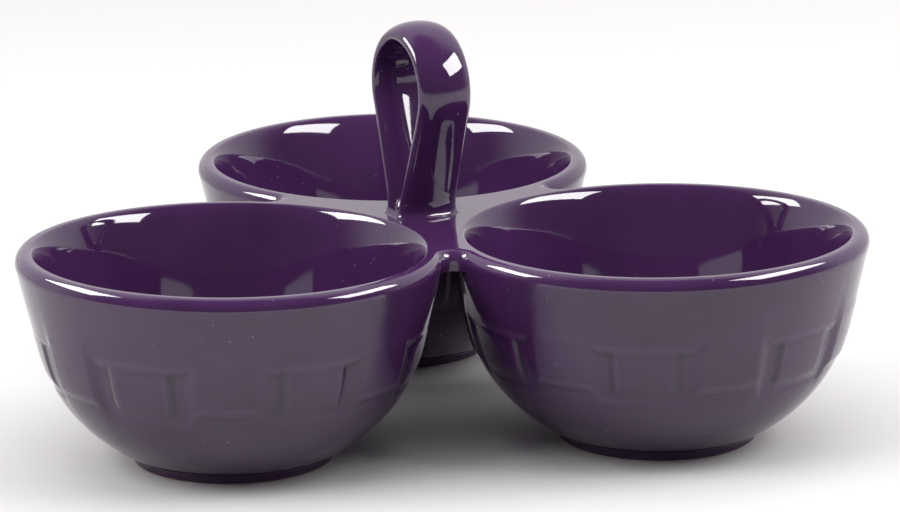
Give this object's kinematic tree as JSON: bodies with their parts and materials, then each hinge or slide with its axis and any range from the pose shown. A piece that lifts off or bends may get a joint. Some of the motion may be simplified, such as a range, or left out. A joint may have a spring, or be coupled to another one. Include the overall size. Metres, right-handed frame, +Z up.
{
  "type": "relish dish",
  "caption": "Glazed stoneware relish dish: round bowls in a trefoil with a woven band, joined by a flat web under a strap loop handle.",
  "frame": {"origin": "on the table, midway between the axes of the three bowls, under the handle", "axes": "+Z up; +Y from the web to the rear bowl; +X to the right, across the two front bowls"},
  "size_m": [0.2416, 0.2256, 0.1155],
  "materials": {
    "purple_glaze": "gloss eggplant glaze",
    "bare_clay": "bare fired clay, wiped clean of glaze"
  },
  "bodies": {
    "root": {"bowl_left": "purple_glaze", "bowl_right": "purple_glaze", "bowl_rear": "purple_glaze", "foot_ring_left": "bare_clay", "foot_ring_right": "bare_clay", "foot_ring_rear": "bare_clay", "centre_web": "purple_glaze", "handle_loop": "purple_glaze", "handle_collar": "purple_glaze"}
  },
  "joints": []
}
